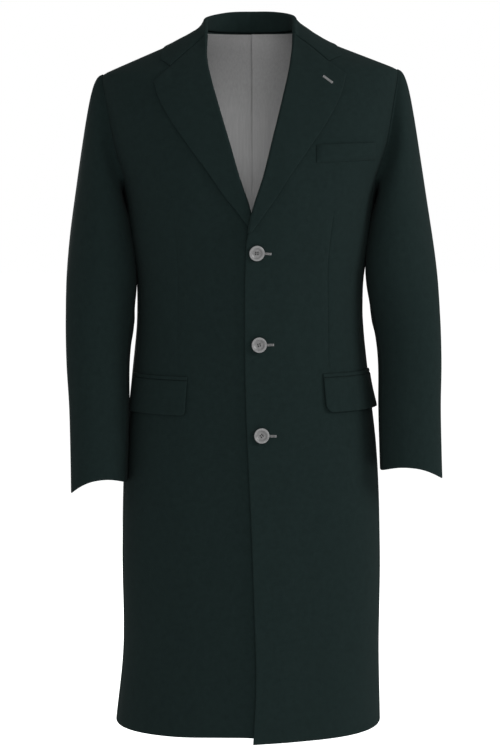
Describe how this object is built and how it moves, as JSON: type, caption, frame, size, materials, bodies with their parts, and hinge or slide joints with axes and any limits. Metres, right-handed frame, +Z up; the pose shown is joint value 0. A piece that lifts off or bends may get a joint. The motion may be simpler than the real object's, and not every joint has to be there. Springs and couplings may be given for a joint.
{
  "type": "topcoat",
  "caption": "Knee-length single-breasted wool topcoat, hollow as worn, with notch lapels, welt breast pocket, flap pockets, set-in sleeves, back vent and satin back lining.",
  "frame": {"origin": "middle of the neck opening, level with the seam where the collar joins the coat, where the wearer's neck and shoulders hold it", "axes": "+Z up along the wearer's spine, +X to the wearer's left, the coat's front faces -Y"},
  "size_m": [0.5751, 0.3065, 1.1135],
  "materials": {
    "wool": "matte melton wool, dark green-black",
    "lining": "light grey satin, low sheen",
    "button": "grey horn look, dished, four holes"
  },
  "bodies": {
    "root": {"front_left": "wool", "front_right": "wool", "side_left": "wool", "side_right": "wool", "back_left": "wool", "back_right": "wool", "lining_left": "lining", "lining_right": "lining", "top_sleeve_left": "wool", "top_sleeve_right": "wool", "under_sleeve_left": "wool", "under_sleeve_right": "wool", "lapel_left": "wool", "lapel_right": "wool", "flap_left": "wool", "flap_right": "wool", "jet_left": "wool", "jet_right": "wool", "collar": "wool", "breast_welt": "wool", "button_1": "button", "button_2": "button", "button_3": "button"}
  },
  "joints": []
}
